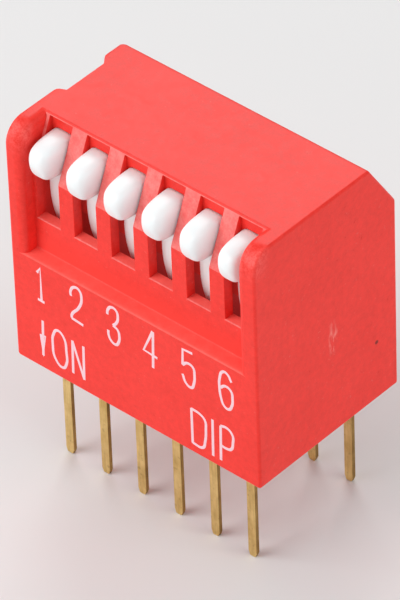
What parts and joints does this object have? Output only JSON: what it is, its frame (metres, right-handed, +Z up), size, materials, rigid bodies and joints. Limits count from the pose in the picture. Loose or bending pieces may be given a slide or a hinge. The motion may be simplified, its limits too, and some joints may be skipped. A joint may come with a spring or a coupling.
{
  "type": "dip switch",
  "caption": "Piano-type DIP switch: a red slotted housing with rocking white levers along its front edge and two rows of flat gold-plated terminals.",
  "frame": {"origin": "centre of the terminal pattern on the seating plane, which is the board's top face", "axes": "+X along the row of levers from the first to the last, -Y the lever side, +Z up out of the board"},
  "size_m": [0.0168, 0.0108, 0.0219],
  "materials": {
    "moulding_red": "satin moulded thermoplastic, bright orange-red",
    "base_red": "satin moulded thermoplastic, red",
    "lever_white": "satin white moulded thermoplastic with soft edges",
    "gold_plate": "gold-plated copper alloy strip"
  },
  "bodies": {
    "housing": {"cover": "moulding_red", "base": "base_red", "terminal_1": "gold_plate", "terminal_2": "gold_plate", "terminal_3": "gold_plate", "terminal_4": "gold_plate", "terminal_5": "gold_plate", "terminal_6": "gold_plate", "terminal_7": "gold_plate", "terminal_8": "gold_plate", "terminal_9": "gold_plate", "terminal_10": "gold_plate", "terminal_11": "gold_plate", "terminal_12": "gold_plate"},
    "rocker_1": {"lever_1": "lever_white", "contact_1": "gold_plate"},
    "rocker_2": {"lever_2": "lever_white", "contact_2": "gold_plate"},
    "rocker_3": {"lever_3": "lever_white", "contact_3": "gold_plate"},
    "rocker_4": {"lever_4": "lever_white", "contact_4": "gold_plate"},
    "rocker_5": {"lever_5": "lever_white", "contact_5": "gold_plate"},
    "rocker_6": {"lever_6": "lever_white", "contact_6": "gold_plate"}
  },
  "joints": [
    {"name": "rock_1", "type": "hinge", "parent": "housing", "child": "rocker_1", "pos_m": [-0.00635, 0.0012, 0.0115], "axis": [1, 0, 0], "range_deg": [0, 30.2]},
    {"name": "rock_2", "type": "hinge", "parent": "housing", "child": "rocker_2", "pos_m": [-0.00381, 0.0012, 0.0115], "axis": [1, 0, 0], "range_deg": [0, 30.2]},
    {"name": "rock_3", "type": "hinge", "parent": "housing", "child": "rocker_3", "pos_m": [-0.00127, 0.0012, 0.0115], "axis": [1, 0, 0], "range_deg": [0, 30.2]},
    {"name": "rock_4", "type": "hinge", "parent": "housing", "child": "rocker_4", "pos_m": [0.00127, 0.0012, 0.0115], "axis": [1, 0, 0], "range_deg": [0, 30.2]},
    {"name": "rock_5", "type": "hinge", "parent": "housing", "child": "rocker_5", "pos_m": [0.00381, 0.0012, 0.0115], "axis": [1, 0, 0], "range_deg": [0, 30.2]},
    {"name": "rock_6", "type": "hinge", "parent": "housing", "child": "rocker_6", "pos_m": [0.00635, 0.0012, 0.0115], "axis": [1, 0, 0], "range_deg": [0, 30.2]}
  ]
}
